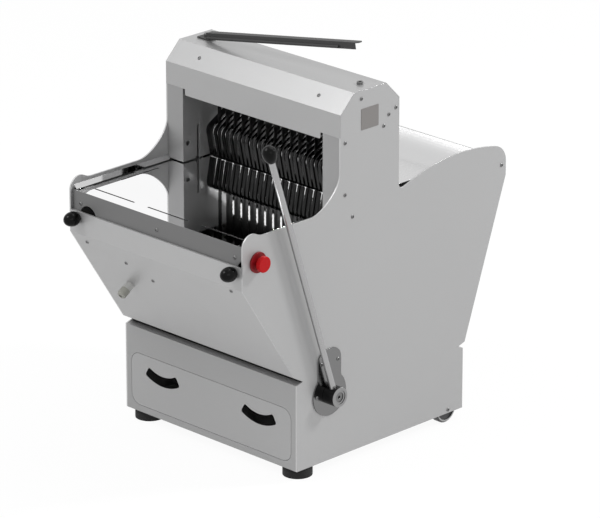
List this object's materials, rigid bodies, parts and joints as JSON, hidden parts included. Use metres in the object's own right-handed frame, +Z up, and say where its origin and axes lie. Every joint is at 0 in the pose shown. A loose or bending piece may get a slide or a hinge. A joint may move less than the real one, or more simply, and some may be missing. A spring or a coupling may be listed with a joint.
{
  "type": "bread slicer machine",
  "caption": "Floor-standing bakery slicer: a lever-driven finger comb pushes a loaf from a rear chute through two counter-moving knife frames onto a front table, over a crumb drawer.",
  "frame": {"origin": "on the floor, under the centre of the overall box", "axes": "+X to the lever side (right as seen from the front), -Y to the front, +Z up"},
  "size_m": [0.6411, 0.955, 1.0544],
  "materials": {
    "panel_steel": "satin",
    "polished_steel": "polished",
    "plain_steel": "satin",
    "knife_steel": "polished",
    "dark_steel": "satin",
    "dark_plastic": "matte",
    "motor_paint": "satin",
    "belt_rubber": "matte",
    "foot_rubber": "matte",
    "red_plastic": "gloss",
    "dark_red_plastic": "satin",
    "pale_grey_plastic": "satin",
    "grey_plastic": "satin",
    "black_plastic": "gloss",
    "wheel_plastic": "matte"
  },
  "bodies": {
    "machine": {"side_panel_left": "panel_steel", "side_panel_right": "panel_steel", "base_front_panel": "panel_steel", "base_floor": "plain_steel", "base_back_panel": "panel_steel", "apron": "panel_steel", "rear_cover": "panel_steel", "top_cover": "polished_steel", "pillars": "panel_steel", "front_table": "polished_steel", "table_rails": "polished_steel", "table_bearers": "plain_steel", "cross_beams": "plain_steel", "rear_chute": "polished_steel", "front_feet": "foot_rubber", "drawer_runners": "plain_steel", "lever_plate": "polished_steel", "lever_bearings": "plain_steel", "slide_rails": "polished_steel", "rail_brackets": "plain_steel", "guide_rods": "polished_steel", "rod_clamps": "plain_steel", "drive_shelf": "plain_steel", "pillow_blocks": "plain_steel", "motor": "motor_paint", "drive_belt": "belt_rubber", "stop_collar": "dark_red_plastic", "stop_contact": "dark_plastic", "gland_body": "pale_grey_plastic", "gland_cap": "grey_plastic", "wheel_brackets": "plain_steel", "side_screws": "plain_steel", "front_screws": "plain_steel", "top_bolts": "plain_steel"},
    "feed_lever": {"cross_shaft": "polished_steel", "rocker_arms": "plain_steel", "lever_hub": "polished_steel", "lever_rod": "polished_steel", "lever_knob": "black_plastic"},
    "pusher": {"comb_fingers": "dark_steel", "comb_bar": "dark_steel", "pusher_sides": "plain_steel", "slide_blocks": "dark_plastic"},
    "front_knife_frame": {"front_frame": "dark_steel", "front_knives": "knife_steel"},
    "rear_knife_frame": {"rear_frame": "dark_steel", "rear_knives": "knife_steel"},
    "crank": {"crankshaft": "polished_steel", "drive_pulley": "plain_steel"},
    "front_con_rods": {"front_rods": "plain_steel"},
    "rear_con_rods": {"rear_rods": "plain_steel"},
    "motor_drive": {"motor_pulley": "plain_steel"},
    "drawer": {"crumb_drawer": "panel_steel"},
    "stop": {"stop_button": "red_plastic"},
    "left_hand_screw": {"hand_screw_left": "black_plastic"},
    "right_hand_screw": {"hand_screw_right": "black_plastic"},
    "bag_holder": {"bag_arm": "dark_steel"},
    "left_wheel": {"wheel_left": "wheel_plastic"},
    "right_wheel": {"wheel_right": "wheel_plastic"}
  },
  "joints": [
    {"name": "lever_swing", "type": "hinge", "parent": "machine", "child": "feed_lever", "pos_m": [-0.01785, -0.1455, 0.201], "axis": [1, 0, 0], "range_deg": [-39, 0]},
    {"name": "pusher_slide", "type": "slide", "parent": "machine", "child": "pusher", "axis": [0, 1, 0], "range_m": [0, 0.20048]},
    {"name": "front_frame_slide", "type": "slide", "parent": "machine", "child": "front_knife_frame", "axis": [0, 0, 1], "range_m": [-0.02, 0.02]},
    {"name": "rear_frame_slide", "type": "slide", "parent": "machine", "child": "rear_knife_frame", "axis": [0, 0, 1], "range_m": [-0.02, 0.02]},
    {"name": "crank_spin", "type": "hinge", "parent": "machine", "child": "crank", "pos_m": [-0.01785, 0.0055, 0.338], "axis": [1, 0, 0], "continuous": true},
    {"name": "front_rod_pivot", "type": "hinge", "parent": "crank", "child": "front_con_rods", "pos_m": [0.13215, -0.0145, 0.338], "axis": [1, 0, 0], "continuous": true},
    {"name": "rear_rod_pivot", "type": "hinge", "parent": "crank", "child": "rear_con_rods", "pos_m": [0.10215, 0.0255, 0.338], "axis": [1, 0, 0], "continuous": true},
    {"name": "motor_spin", "type": "hinge", "parent": "machine", "child": "motor_drive", "pos_m": [-0.21785, 0.1905, 0.338], "axis": [1, 0, 0], "continuous": true},
    {"name": "drawer_pull", "type": "slide", "parent": "machine", "child": "drawer", "axis": [0, -1, 0], "range_m": [0, 0.35]},
    {"name": "stop_press", "type": "slide", "parent": "machine", "child": "stop", "axis": [-1, 0, 0], "range_m": [0, 0.005], "stiffness_N_per_m": 2000},
    {"name": "left_hand_screw_turn", "type": "hinge", "parent": "machine", "child": "left_hand_screw", "pos_m": [-0.28985, -0.4555, 0.582], "axis": [0, -1, 0], "continuous": true},
    {"name": "right_hand_screw_turn", "type": "hinge", "parent": "machine", "child": "right_hand_screw", "pos_m": [0.25415, -0.4555, 0.582], "axis": [0, -1, 0], "continuous": true},
    {"name": "bag_arm_swivel", "type": "hinge", "parent": "machine", "child": "bag_holder", "pos_m": [-0.27985, -0.0035, 0.948], "axis": [0, 0, 1], "range_deg": [-90, 90]},
    {"name": "left_wheel_roll", "type": "hinge", "parent": "machine", "child": "left_wheel", "pos_m": [-0.30035, 0.2775, 0.036], "axis": [1, 0, 0], "continuous": true},
    {"name": "right_wheel_roll", "type": "hinge", "parent": "machine", "child": "right_wheel", "pos_m": [0.26465, 0.2775, 0.036], "axis": [1, 0, 0], "continuous": true}
  ],
  "couplings": [
    {"joint": "pusher_slide", "follows": "lever_swing", "m_per_rad": -0.29423},
    {"joint": "rear_frame_slide", "follows": "front_frame_slide", "ratio": -1},
    {"joint": "front_rod_pivot", "follows": "crank_spin", "ratio": -1},
    {"joint": "rear_rod_pivot", "follows": "crank_spin", "ratio": -1},
    {"joint": "motor_spin", "follows": "crank_spin", "ratio": 1.9737}
  ]
}
